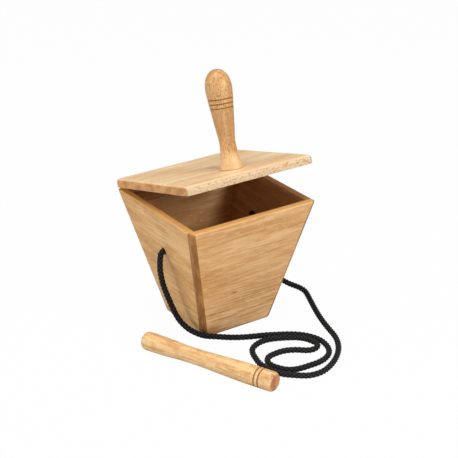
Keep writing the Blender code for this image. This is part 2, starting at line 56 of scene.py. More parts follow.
UP: Point = (0.0, 0.0, 1.0)
SMOOTH_ANGLE = math.radians(38)
SMALL_GAP = 0.0003
Z_TO_X = Matrix.Rotation(math.pi / 2, 4, "Y")


class Side(Enum):
    """Side of the box, seen from the front."""

    LEFT = -1
    RIGHT = 1


class Slot(Enum):
    """Material slots of the record."""

    BOX = "box_wood"
    LID = "lid_wood"
    HANDLE = "handle_wood"
    BEATER = "beater_wood"
    BRASS = "hinge_brass"
    STEEL = "steel"
    BRAID = "cord_braid"


class Body(Enum):
    """Bodies that move on their own."""

    BOX = "box"
    LID = "lid"
    BEATER = "beater"


def rgb(*levels: float) -> Colour:
    """Turn red, green and blue as a screen shows them, 0 to 255, into a shader's linear values."""
    shares = [level / 255 for level in levels]
    return tuple(share / 12.92 if share <= 0.04045 else ((share + 0.055) / 1.055) ** 2.4
                 for share in shares)


def between(low: float, high: float, share: float) -> float:
    """Return the value at a share of the way from low to high."""
    return low + (high - low) * share


Value = Union["Channel", float]


def arithmetic(operation: str, swapped: bool = False) -> Callable[..., "Channel"]:
    """Return a Channel method that adds one Math node, with its two values swapped if asked."""
    def method(self: "Channel", other: Value = 0.0) -> "Channel":
        """Add the node and return its result."""
        pair = (other, self) if swapped else (self, other)
        node = self.graph.node("ShaderNodeMath", {"operation": operation}, dict(enumerate(pair)))
        return self.graph.channel(node)

    return method


class Channel:
    """A shader socket that Python's arithmetic works on, one Math node for each step."""

    def __init__(self, graph: "Graph", socket: bpy.types.NodeSocket) -> None:
        """Wrap a socket of a graph."""
        self.graph = graph
        self.socket = socket

    __add__ = arithmetic("ADD")
    __radd__ = arithmetic("ADD", swapped=True)
    __sub__ = arithmetic("SUBTRACT")
    __rsub__ = arithmetic("SUBTRACT", swapped=True)
    __mul__ = arithmetic("MULTIPLY")
    __rmul__ = arithmetic("MULTIPLY", swapped=True)
    __truediv__ = arithmetic("DIVIDE")
    __abs__ = arithmetic("ABSOLUTE")
    sine = arithmetic("SINE")
    root = arithmetic("SQRT")
    most = arithmetic("MAXIMUM")
    least = arithmetic("MINIMUM")


class Graph:
    """Node graph of one material, with a Principled shader at its end."""

    def __init__(self, name: str) -> None:
        """Make the material and find its shader."""
        self.material = bpy.data.materials.new(name)
        self.material.use_nodes = True
        self.tree = self.material.node_tree
        self.shader = self.tree.nodes["Principled BSDF"]

    def node(self, kind: str, settings: dict, sockets: dict) -> bpy.types.Node:
        """Add a node.

        Args:
            kind: Blender's name for the node's type.
            settings: The node's own settings, set before its sockets.
            sockets: A value or a Channel for each input, by name or number.

        Returns:
            The new node.
        """
        node = self.tree.nodes.new(kind)
        for name, value in settings.items():
            setattr(node, name, value)
        self.feed(node, sockets)
        return node

    def feed(self, node: bpy.types.Node, sockets: dict) -> None:
        """Set or link a node's inputs."""
        for name, value in sockets.items():
            if isinstance(value, Channel):
                self.tree.links.new(value.socket, node.inputs[name])
            elif isinstance(value, tuple) and node.inputs[name].type == "RGBA":
                node.inputs[name].default_value = (*value, 1.0)
            else:
                node.inputs[name].default_value = value

    def channel(self, node: bpy.types.Node, output: Union[int, str] = 0) -> Channel:
        """Wrap one output of a node."""
        return Channel(self, node.outputs[output])

    def place(self) -> Channel:
        """Return the point on the piece, in metres, as it moves with the piece."""
        return self.channel(self.node("ShaderNodeTexCoord", {}, {}), "Object")

    def normal(self) -> Channel:
        """Return the surface's own direction, as it moves with the piece."""
        return self.channel(self.node("ShaderNodeTexCoord", {}, {}), "Normal")

    def along(self, vector: Channel, direction: Sequence[float]) -> Channel:
        """Return how far a vector reaches along a direction."""
        sockets = {0: vector, 1: tuple(direction)}
        node = self.node("ShaderNodeVectorMath", {"operation": "DOT_PRODUCT"}, sockets)
        return self.channel(node, "Value")

    def vector(self, x: Value, y: Value, z: Value) -> Channel:
        """Join three values into a vector."""
        return self.channel(self.node("ShaderNodeCombineXYZ", {}, {0: x, 1: y, 2: z}))

    def noise(self, vector: Channel, scale: float, detail: float, roughness: float = 0.5) -> Channel:
        """Return cloudy noise, 0 to 1, that changes over a length of 1 / scale."""
        sockets = {"Vector": vector, "Scale": scale, "Detail": detail, "Roughness": roughness}
        return self.channel(self.node("ShaderNodeTexNoise", {}, sockets), "Fac")

    def rise(self, value: Value, low: float, high: float) -> Channel:
        """Return 0 below low and 1 above high, with a soft rise between them."""
        sockets = {"Value": value, "From Min": low, "From Max": high}
        return self.channel(self.node("ShaderNodeMapRange", {"interpolation_type": "SMOOTHSTEP"}, sockets))

    def mix(self, share: Value, first: Union[Channel, Colour], second: Union[Channel, Colour]) -> Channel:
        """Blend two colours."""
        node = self.node("ShaderNodeMix", {"data_type": "RGBA"}, {0: share, 6: first, 7: second})
        return self.channel(node, 2)

    def bump(self, height: Channel, distance: float, strength: float) -> Channel:
        """Return the normal of a surface raised by height times distance, in metres."""
        sockets = {"Height": height, "Distance": distance, "Strength": strength}
        return self.channel(self.node("ShaderNodeBump", {}, sockets))


@dataclass(frozen=True)
class Mark:
    """Soft patch of colour drawn out along the grain, used for darker or paler tones in the wood, for
    painted shadows and for painted glow.
    """

    spot: Point
    length: float
    width: float
    strength: float
    colour: Colour


@dataclass(frozen=True)
class Figure:
    """Noise drawn out along the grain.

    It has its changes in a metre along the grain (run) and across it (line), and the levels at which
    one of its marks starts and is full.
    """

    run: float
    line: float
    start: float = 0.0
    full: float = 1.0
    detail: float = 2.0
    roughness: float = 0.5


DRIFT = Figure(8, 20)
HAIRS = Figure(30, 560, 0.50, 0.72)
DASHES = Figure(90, 430, 0.54, 0.70)
FLECKS = Figure(330, 760, 0.52, 0.66)
PORES = Figure(210, 2400, 0.62, 0.72, detail=1.0)
END_DOTS = Figure(60, 1500, 0.60, 0.72, detail=1.0)
EDGE_SPECKS = Figure(280, 480, 0.53, 0.65, detail=1.0)


@dataclass(frozen=True)
class Wood:
    """Clear-lacquered light hardwood: its colours, how its figure runs, and how much of each shows.

    A pair named turn holds how far a face leans towards a direction where a look starts and is full.
    """

    name: str
    pale: Colour
    mid: Colour
    dark: Colour
    end_pale: Colour
    end_dark: Colour
    grain: Point = (1.0, 0.0, 0.0)
    face: Point = (0.0, 0.0, -1.0)
    shift: float = 0.0
    bands: float = 0.6
    band_size: float = 0.026
    streaks: float = 0.5
    streak_size: float = 0.0048
    run: float = 10.0
    # Low streaks: stronger streaks low on a board, and with them a painted-light ramp that makes the wood
    # paler there.
    low_streaks_and_painted_light: float = 0.0
    hairs: float = 0.35
    pores: float = 0.45
    dashes: float = 0.35
    flecks: float = 0.0
    warm: Union[Colour, None] = None
    blots: float = 0.4
    bend: float = 0.0025
    roughness: float = 0.42
    shine: float = 0.5
    coat: float = 0.15
    rim: Union[Colour, None] = None
    # The inside colour is painted shade: a darker brown laid over faces that look into the box, where the
    # lid keeps the light out.
    inside: Union[Colour, None] = None
    inside_shade_share: float = 0.5
    edge: Union[Colour, None] = None
    specks: float = 0.75
    grooves: tuple[float, ...] = ()
    groove_origin: Point = (0.0, 0.0, 0.0)
    groove_width: float = 0.0011
    burnt: Colour = rgb(150, 92, 38)
    end_turn: Pair = (0.16, 0.50)
    end_rings: Pair = (28.0, 420.0)
    low_fade: Pair = (0.02, 0.10)
    inside_shade_turn: Pair = (-0.92, -0.6)
    rim_turn: Pair = (0.55, 0.9)
    side_turn: Pair = (0.45, 0.85)
    marks: tuple[Mark, ...] = ()

    def material(self) -> Finish:
        """Build the finish.

        Returns:
            The material, whose figure follows the piece's own coordinates.
        """
        g = Graph(self.name)
        spot, normal = g.place(), g.normal()
        grain = Vector(self.grain).normalized()
        across = Vector(self.face).cross(grain).normalized()
        u = g.along(spot, grain) + self.shift

        def noise(figure: Figure, sides: Sequence[Channel]) -> Channel:
            """Return a figure's noise at a place across the grain."""
            point = g.vector(u * figure.run, sides[0] * figure.line, sides[1] * figure.line)
            return g.noise(point, 1.0, figure.detail, figure.roughness)

        def share(figure: Figure, sides: Sequence[Channel]) -> Channel:
            """Return how far a place lies in one of a figure's marks."""
            return g.rise(noise(figure, sides), figure.start, figure.full)

        straight = (g.along(spot, across) + self.shift * 0.37, g.along(spot, grain.cross(across)))
        drift = (noise(DRIFT, straight) - 0.5) * self.bend
        bent = (straight[0] + drift, straight[1] + drift * 0.4)
        broad = Figure(4.5, 1 / self.band_size, 0.34, 0.66, 3.0)
        blots = Figure(self.run * 2, 110, 0.48, 0.66)
        streaks = Figure(self.run, 1 / self.streak_size, 0.48, 0.68, 4.0, 0.6)
        streak, hair, pore = noise(streaks, bent), noise(HAIRS, bent), share(PORES, bent)
        # Near the bottom of a board the wood is painted paler, painted light against the shade near the
        # floor, and its streaks are stronger.
        low = 1 - g.rise(g.along(spot, UP), *self.low_fade) if self.low_streaks_and_painted_light else 0.0

        colour = g.mix(share(broad, bent) * self.bands * (1 - low * 0.75), self.pale, self.mid)
        if self.warm:
            colour = g.mix(share(blots, bent) * self.blots, colour, self.warm)
        strength = g.rise(streak, streaks.start, streaks.full) * self.streaks * (1 + low * self.low_streaks_and_painted_light)
        colour = g.mix(strength.least(0.9), colour, self.dark)
        colour = g.mix(g.rise(hair, HAIRS.start, HAIRS.full) * self.hairs, colour, self.dark)
        colour = g.mix(share(DASHES, bent) * self.dashes, colour, self.pale)
        if self.flecks:
            colour = g.mix(share(FLECKS, bent) * self.flecks, colour, self.dark)
        colour = g.mix(pore * self.pores, colour, self.end_dark)
        # Painted shade inside the box: faces that look inwards are mixed towards the inside colour.
        if self.inside:
            inner_shade = 1 - g.rise(g.along(normal, Vector(self.face).normalized()), *self.inside_shade_turn)
            colour = g.mix(inner_shade * self.inside_shade_share, colour, self.inside)

        end_grain = g.rise(abs(g.along(normal, grain)), *self.end_turn)
        ring_place = g.vector(u * 3, *(side * rings for side, rings in zip(straight, self.end_rings)))
        end = g.mix(g.rise(g.noise(ring_place, 1.0, 3.0, 0.6), 0.40, 0.62), self.end_pale, self.end_dark)
        end = g.mix(share(END_DOTS, straight) * 0.35, end, self.end_dark)
        colour = g.mix(end_grain, colour, end)
        # Marks: darker or paler tones in the wood, painted shadows and painted glow.
        for mark in self.marks:
            middle = Vector(mark.spot)
            run = (g.along(spot, grain) - middle.dot(grain)) / mark.length
            climb = (g.along(spot, across) - middle.dot(across)) / mark.width
            far = (run * run + climb * climb).root() + (streak - 0.5) * 1.2
            colour = g.mix((1 - g.rise(far, 0.2, 1.1)) * mark.strength, colour, mark.colour)
        if self.rim:
            top = g.rise(g.along(normal, UP), *self.rim_turn)
            colour = g.mix(top * 0.8 * (1 - end_grain), colour, self.rim)
        if self.edge:
            side = g.rise(abs(g.along(normal, across)), *self.side_turn)
            colour = g.mix(side * 0.75, colour, self.edge)
            colour = g.mix(side * share(EDGE_SPECKS, straight) * self.specks, colour, self.end_dark)
        coat: Value = self.coat
        if self.grooves:
            along = g.along(spot, grain) - Vector(self.groove_origin).dot(grain)
            lines: Value = 0.0
            for groove in self.grooves:
                line = 1 - g.rise(abs(along - groove), self.groove_width * 0.4, self.groove_width)
                lines = line.most(lines)
            colour = g.mix(lines * 0.9, colour, self.burnt)
            coat = (1 - lines) * self.coat

        rough = self.roughness + (streak - 0.5) * 0.12 + pore * 0.12
        relief = hair * 0.4 - pore * 0.6 + streak * 0.5
        g.feed(g.shader, {"Base Color": colour, "Roughness": rough, "Specular IOR Level": self.shine,
                          "Coat Weight": coat, "Coat Roughness": 0.22,
                          "Normal": g.bump(relief, 0.00012, 0.45)})
        return g.material


# The box wood's inside colour is painted shade on the boards' inner faces.
BOX_WOOD = Wood(
    "bottom_wood", rgb(238, 196, 142), rgb(204, 151, 92), rgb(174, 110, 56), rgb(181, 127, 70),
    rgb(147, 97, 49), shift=4.2, bands=0.95, streaks=0.36, streak_size=0.0030, run=13.0, dashes=0.5,
    warm=rgb(202, 142, 80), shine=0.2, coat=0.04, rim=rgb(232, 174, 100), inside=rgb(118, 64, 26),
    inside_shade_share=0.40, end_turn=(0.04, 0.14), end_rings=(30.0, 160.0))
LID_WOOD = Wood(
    "lid_wood_looks", rgb(255, 228, 182), rgb(236, 192, 138), rgb(198, 142, 92), rgb(216, 160, 96),
    rgb(188, 130, 72), shift=5.3, bands=0.8, streaks=0.45, hairs=0.28, warm=rgb(232, 168, 122),
    roughness=0.38, shine=0.3, coat=0.1, edge=rgb(204, 180, 146), end_turn=(0.6, 0.85),
    end_rings=(70.0, 110.0))
HANDLE_WOOD = Wood(
    "handle_wood_looks", rgb(225, 179, 118), rgb(198, 144, 82), rgb(164, 104, 48), rgb(226, 172, 108),
    rgb(140, 84, 40), shift=6.1, bands=0.8, band_size=0.012, streak_size=0.0032, run=24.0, hairs=0.3,
    pores=0.8, flecks=0.9, roughness=0.45, coat=0.06, end_turn=(0.9, 1.0))
BEATER_WOOD = Wood(
    "beater_wood_looks", rgb(244, 206, 148), rgb(228, 176, 112), rgb(190, 124, 64), rgb(200, 136, 76),
    rgb(154, 96, 46), face=UP, shift=7.9, bands=0.85, band_size=0.010, streaks=0.6, streak_size=0.0035,
    run=28.0, hairs=0.3, flecks=0.3, warm=rgb(212, 146, 84), blots=0.6, bend=0.004, roughness=0.36,
    groove_width=0.0014, burnt=rgb(140, 72, 18), end_turn=(0.6, 0.95), end_rings=(40.0, 60.0))


@dataclass(frozen=True)
class Metal:
    """Plated metal with fine marks from handling."""

    name: str
    bright: Colour
    dull: Colour
    roughness: float
    # Scale of the noise of dull and bright marks from handling.
    tones_and_painted_glow: float = 260.0
    scratches: Point = (400.0, 5200.0, 5200.0)

    def material(self) -> Finish:
        """Build the finish.

        Returns:
            The material.
        """
        g = Graph(self.name)
        spot = g.place()
        stain = g.noise(spot, self.tones_and_painted_glow, 3.0, 0.6)
        axes = ((1, 0, 0), (0, 1, 0), UP)
        stretched = [g.along(spot, axis) * scale for axis, scale in zip(axes, self.scratches)]
        scratch = g.noise(g.vector(*stretched), 1.0, 2.0)
        rough = self.roughness + (stain - 0.5) * 0.25 + (scratch - 0.5) * 0.15
        g.feed(g.shader, {"Base Color": g.mix(g.rise(stain, 0.42, 0.7), self.bright, self.dull),
                          "Roughness": rough, "Metallic": 1.0, "Normal": g.bump(scratch, 0.00003, 0.4)})
        return g.material


@dataclass(frozen=True)
class Braid:
    """Black braided cord: yarns on every strand, with painted shade in the valleys where the strands dive
    under each other.
    """

    name: str
    yarn: Colour = rgb(58, 58, 59)
    valley_shade: Colour = rgb(4, 4, 4)
    roughness: float = 0.72
    fuzz: float = 2600.0

    def material(self) -> Finish:
        """Build the finish, which reads how high each point of a strand stands.

        Returns:
            The material.
        """
        g = Graph(self.name)
        high, lean = (g.channel(g.node("ShaderNodeAttribute", {"attribute_name": name}, {}), "Fac")
                      for name in ("lift", "yarn"))
        fuzz = g.noise(g.place(), self.fuzz, 2.0)
        yarns = (lean * math.tau).sine() * 0.5 + 0.5
        # Painted shade: the low parts of each strand, and the lines between its yarns, are darkened towards
        # black.
        share = g.rise(high, 0.15, 0.85) * (0.70 + 0.30 * yarns)
        g.feed(g.shader, {"Base Color": g.mix(share, self.valley_shade, self.yarn), "Specular IOR Level": 0.18,
                          "Roughness": self.roughness + (fuzz - 0.5) * 0.2,
                          "Normal": g.bump(yarns * 0.7 + fuzz * 0.5, 0.00012, 0.6)})
        return g.material


def add(name: str, data: bpy.types.ID) -> Piece:
    """Put an object with the given data into the scene."""
    piece = bpy.data.objects.new(name, data)
    bpy.context.scene.collection.objects.link(piece)
    return piece


def new_piece(bm: bmesh.types.BMesh, name: str, material: Union[Finish, None] = None) -> Piece:
    """Make an object from a bmesh, with smooth shading up to a sharp angle.

    Args:
        bm: The shape, which is freed.
        name: The piece's name.
        material: Its finish, left out for a tool that is used up in a cut.

    Returns:
        The new object.
    """
    bmesh.ops.recalc_face_normals(bm, faces=bm.faces)
    mesh = bpy.data.meshes.new(name)
    bm.to_mesh(mesh)
    bm.free()
    if material:
        mesh.materials.append(material)
    shade(mesh)
    return add(name, mesh)


def shade(mesh: bpy.types.Mesh) -> None:
    """Shade a mesh smooth up to the sharp angle."""
    mesh.shade_smooth()
    mesh.set_sharp_from_angle(angle=SMOOTH_ANGLE)


def hand_in(piece: Piece, body: Body, slot: Slot, node: str) -> Piece:
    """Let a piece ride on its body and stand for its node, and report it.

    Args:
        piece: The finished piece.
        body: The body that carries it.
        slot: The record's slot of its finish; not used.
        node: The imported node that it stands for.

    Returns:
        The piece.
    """
    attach(piece, body.value)
    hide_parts(node)
    LOG.info("%s on %s, %d faces", piece.name, body.value, len(piece.data.polygons))
    return piece


def even_normals(piece: Piece) -> None:
    """Keep wide flat faces flat in shading, next to their rounded edges."""
    step = piece.modifiers.new("even_normals", "WEIGHTED_NORMAL")
    step.keep_sharp = True


def cut_with(piece: Piece, tools: Sequence[Piece], operation: str = "DIFFERENCE") -> None:
    """Cut a piece with tools, or join them to it, and remove the tools.

    Args:
        piece: The piece to change.
        tools: Closed shapes.
        operation: Boolean operation.
    """
    for tool in tools:
        step = piece.modifiers.new(operation.lower(), "BOOLEAN")
        step.operation = operation
        step.solver = "EXACT"
        step.object = tool
    bpy.context.view_layer.update()
    evaluated = piece.evaluated_get(bpy.context.evaluated_depsgraph_get())
    mesh = bpy.data.meshes.new_from_object(evaluated)
    piece.modifiers.clear()
    piece.data = mesh
    shade(mesh)
    for tool in tools:
        bpy.data.objects.remove(tool, do_unlink=True)


def block(low: Point, high: Point) -> bmesh.types.BMesh:
    """Return a box between two corners."""
    bm = bmesh.new()
    bmesh.ops.create_cube(bm, size=1)
    for vert in bm.verts:
        vert.co = [high[axis] if vert.co[axis] > 0 else low[axis] for axis in range(3)]
    return bm


def turned(name: str, profile: Profile, steps: int, place: Matrix,
           material: Union[Finish, None] = None) -> Piece:
    """Turn a profile about Z and put the closed solid in its place.

    Args:
        name: The piece's name.
        profile: Points of (radius, height), whose first and last radius are 0.
        steps: Faces around.
        place: Where its origin and axis go.
        material: Its finish, left out for a tool.

    Returns:
        The new object.
    """
    bm = bmesh.new()
    rings: list[list[bmesh.types.BMVert]] = []
    angles = [math.tau * i / steps for i in range(steps)]
    for radius, height in profile:
        around = angles if radius > 0 else angles[:1]
        rings.append([bm.verts.new((radius * math.cos(a), radius * math.sin(a), height)) for a in around])
    for first, second in zip(rings, rings[1:]):
        for i in range(steps):
            j = (i + 1) % steps
            if len(first) == 1:
                bm.faces.new((first[0], second[i], second[j]))
            elif len(second) == 1:
                bm.faces.new((first[i], second[0], first[j]))
            else:
                bm.faces.new((first[i], second[i], second[j], first[j]))
    bmesh.ops.transform(bm, matrix=place, verts=bm.verts)
    return new_piece(bm, name, material)


def arc(centre: Pair, radius: float, start_deg: float, end_deg: float, count: int) -> Profile:
    """Return the points of a round stretch in a profile."""
    angles = [math.radians(between(start_deg, end_deg, i / count)) for i in range(count + 1)]
    return [(centre[0] + radius * math.cos(a), centre[1] + radius * math.sin(a)) for a in angles]


def measured(line: np.ndarray) -> np.ndarray:
    """Return how far along a line each of its points lies."""
    return np.concatenate([[0.0], np.cumsum(np.linalg.norm(np.diff(line, axis=0), axis=1))])


def smooth_curve(points: Sequence[Sequence[float]], count: int) -> np.ndarray:
    """Read evenly spaced points from the natural cubic curve through the given ones.

    Args:
        points: Points that the curve goes through.
        count: How many points to read.

    Returns:
        The points, one to a row.
    """
    given = np.array(points, dtype=float)
    places = measured(given)
    spans = np.linalg.norm(np.diff(given, axis=0), axis=1)
    last = len(given) - 1
    matrix = np.identity(last + 1)
    right = np.zeros_like(given)
    for i in range(1, last):
        matrix[i, i - 1:i + 2] = spans[i - 1], 2 * (spans[i - 1] + spans[i]), spans[i]
        right[i] = 6 * ((given[i + 1] - given[i]) / spans[i] - (given[i] - given[i - 1]) / spans[i - 1])
    bends = np.linalg.solve(matrix, right)
    wanted = np.linspace(0.0, places[-1], 60 * last)
    index = np.clip(np.searchsorted(places, wanted, side="right") - 1, 0, last - 1)
    span = spans[index][:, None]
    before, after = (places[index + 1] - wanted)[:, None], (wanted - places[index])[:, None]
    fine = (bends[index] * before ** 3 + bends[index + 1] * after ** 3) / (6 * span)
    fine += (given[index] / span - bends[index] * span / 6) * before
    fine += (given[index + 1] / span - bends[index + 1] * span / 6) * after
    measure = measured(fine)
    spots = np.linspace(0.0, measure[-1], count)
    return np.stack([np.interp(spots, measure, fine[:, axis]) for axis in range(given.shape[1])], axis=1)


def smooth_profile(points: Profile, count: int) -> Profile:
    """Return a stretch of a profile that curves smoothly through points."""
    return [(float(radius), float(height)) for radius, height in smooth_curve(points, count)]


def grooved(profile: Profile, grooves: Sequence[float], width: float, depth: float) -> Profile:
    """Cut round-bottomed lines into a profile that runs from its highest point down.

    Args:
        profile: Points of (radius, height).
        grooves: Heights of the lines.
        width: Width of a line.
        depth: Depth of a line.

    Returns:
        The profile with its lines.
    """
    heights = np.array([height for _, height in profile])[::-1]
    radii = np.array([radius for radius, _ in profile])[::-1]
    kept = [point for point in profile if all(abs(point[1] - groove) > width * 0.6 for groove in grooves)]
    for groove in grooves:
        for share in (-1.0, -0.8, -0.4, 0.0, 0.4, 0.8, 1.0):
            height = groove + share * width / 2
            cut = depth * (1 - share ** 2)
            kept.append((float(np.interp(height, heights, radii)) - cut, height))
    return sorted(kept, key=lambda point: (-point[1], point[0]))


@dataclass
class HopperBox:
    """The box: the front board over the side boards' ends, the back and the bottom set between them."""

    top_width: float = 0.190
    top_depth: float = 0.1866
    bottom_width: float = 0.104
    bottom_depth: float = 0.0975
    height: float = 0.1755
    wall: float = 0.010
    bottom_board: float = 0.008
    corner_round: float = 0.006
    rim_round: float = 0.0025
    base_round: float = 0.0040
    arris: float = 0.0006
    joint: float = 0.00004
    hole_height: float = 0.116
    hole_radius: float = 0.0044
    hole_flare: float = 0.0008

    @property
    def width_slope(self) -> float:
        """How far a side board leans out over a metre of height."""
        return (self.top_width - self.bottom_width) / 2 / self.height

    @property
    def depth_slope(self) -> float:
        """How far the front and back boards lean out over a metre of height."""
        return (self.top_depth - self.bottom_depth) / 2 / self.height

    def hole(self, side: Side) -> tuple[Vector, Vector]:
        """Return where a cord hole leaves its board's outer face, and the way out."""
        lean = math.atan(self.width_slope)
        start = Vector((side.value * (self.bottom_width / 2 + self.width_slope * self.hole_height), 0,
                        self.hole_height))
        return start, Vector((side.value * math.cos(lean), 0, -math.sin(lean)))

    def inwards(self, spot: Vector) -> Pair:
        """Return how far a spot lies inside the outer side face, and the outer front or back face."""
        return (self.bottom_width / 2 + self.width_slope * spot.z - abs(spot.x),
                self.bottom_depth / 2 + self.depth_slope * spot.z - abs(spot.y))

    def board(self, name: str, wood: Wood, corners: Sequence[Pair], top: float) -> Piece:
        """Make one board with leaning sides, rounded where it lies on the outside of the box.

        Args:
            name: The piece's name, from its node.
            wood: Its finish.
            corners: (x, y) bounds, each as (place at z = 0, slope): x low, x high, y low, y high.
            top: Height of the board's upper face.

        Returns:
            The board.
        """
        bm = block((-1, -1, 0), (1, 1, top))
        for vert in bm.verts:
            height = vert.co.z
            x, y = corners[vert.co.x > 0], corners[2 + (vert.co.y > 0)]
            vert.co = (x[0] + x[1] * height, y[0] + y[1] * height, height)
        near, inside, rim_from = self.corner_round / 2, self.wall * 1.02, self.height - SMALL_GAP
        roundings = (
            (self.corner_round, 8, lambda way, spot, depths: abs(way.z) > 0.9 and max(depths) < near),
            (self.rim_round, 6, lambda way, spot, depths: spot.z > rim_from and min(depths) < near),
            (self.base_round, 6, lambda way, spot, depths: spot.z < SMALL_GAP and min(depths) < near),
            (self.arris, 3, lambda way, spot, depths: spot.z > rim_from and min(depths) > inside),
        )
        for radius, steps, wanted in roundings:
            edges = []
            for edge in bm.edges:
                start, end = edge.verts[0].co, edge.verts[1].co
                middle = (start + end) / 2
                if wanted((end - start).normalized(), middle, self.inwards(middle)):
                    edges.append(edge)
            bmesh.ops.bevel(bm, geom=edges, offset=radius, segments=steps, profile=0.5, affect="EDGES")
        return new_piece(bm, name, wood.material())

    def build(self) -> None:
        """Make the five boards and drill the cord holes."""
        half_width, half_depth = self.bottom_width / 2, self.bottom_depth / 2
        slope_x, slope_y, joint = self.width_slope, self.depth_slope, self.joint
        in_x = half_width - self.wall * math.hypot(1, slope_x)
        in_y = half_depth - self.wall * math.hypot(1, slope_y)
        left, right = (-half_width, -slope_x), (half_width, slope_x)
        front, back = (-half_depth, -slope_y), (half_depth, slope_y)
        between_x = ((joint - in_x, -slope_x), (in_x - joint, slope_x))
        past_front, before_back = (joint - in_y, -slope_y), (in_y - joint, slope_y)
        # A small dark mark, and a soft darker patch low on the front board beside the cord.
        tones_and_painted_glow = (Mark((-0.0149, -0.0650, 0.0639), 0.0060, 0.0019, 1.0, rgb(158, 92, 38)),
                  Mark((-0.0400, -0.0530, 0.0130), 0.0150, 0.0080, 0.45, rgb(188, 130, 66)))
        outer = replace(BOX_WOOD, low_streaks_and_painted_light=0.3)
        side_wood = replace(outer, grain=(0, 1, 0))
        boards = (
            ("front_board", (left, right, front, (-in_y, -slope_y)), self.height,
             replace(outer, name="front_board_wood", face=(0, -1, -slope_y), shift=0.31,
                     low_streaks_and_painted_light=1.5, marks=tones_and_painted_glow)),
            # The back board's inner face gets less painted shade, where light comes in under the lid.
            ("back_board", (*between_x, (in_y, slope_y), back), self.height,
             replace(outer, name="back_board_wood", face=(0, 1, -slope_y), shift=1.73,
                     inside_shade_share=0.24)),
            # Painted light: the left board gets a lighter, warmer copy of the box wood, against the duller
            # light on that side.
            ("left_board", (left, (-in_x, -slope_x), past_front, back), self.height,
             replace(side_wood, name="left_board_wood", face=(-1, 0, -slope_x), shift=2.37,
                     pale=rgb(242, 197, 133), mid=rgb(212, 156, 88))),
            # The right board's darker rim is painted shade, where the lid keeps light off it.
            ("right_board", ((in_x, slope_x), right, past_front, back), self.height,
             replace(side_wood, name="right_board_wood", face=(1, 0, -slope_x), shift=3.11,
                     rim=rgb(176, 118, 62))),
            ("bottom_board", (*between_x, past_front, before_back), self.bottom_board, BOX_WOOD),
        )
        drills = {"left_board": Side.LEFT, "right_board": Side.RIGHT}
        for node, corners, top, wood in boards:
            piece = self.board(node + "_looks", wood, corners, top)
            if node in drills:
                cut_with(piece, [self.drill(drills[node])])
            even_normals(piece)
            hand_in(piece, Body.BOX, Slot.BOX, node)

    def drill(self, side: Side) -> Piece:
        """Return the cutter of a cord hole, flared a little at the board's outer face."""
        start, heading = self.hole(side)
        wide, wall = self.hole_radius + self.hole_flare, self.wall
        profile = [(0.0, wall), (wide + wall, wall), (wide, 0.0), (self.hole_radius, -self.hole_flare),
                   (self.hole_radius, -2 * wall), (0.0, -2 * wall)]
        turn = Vector(UP).rotation_difference(heading).to_matrix().to_4x4()
        return turned("drill", profile, 40, Matrix.Translation(start) @ turn)


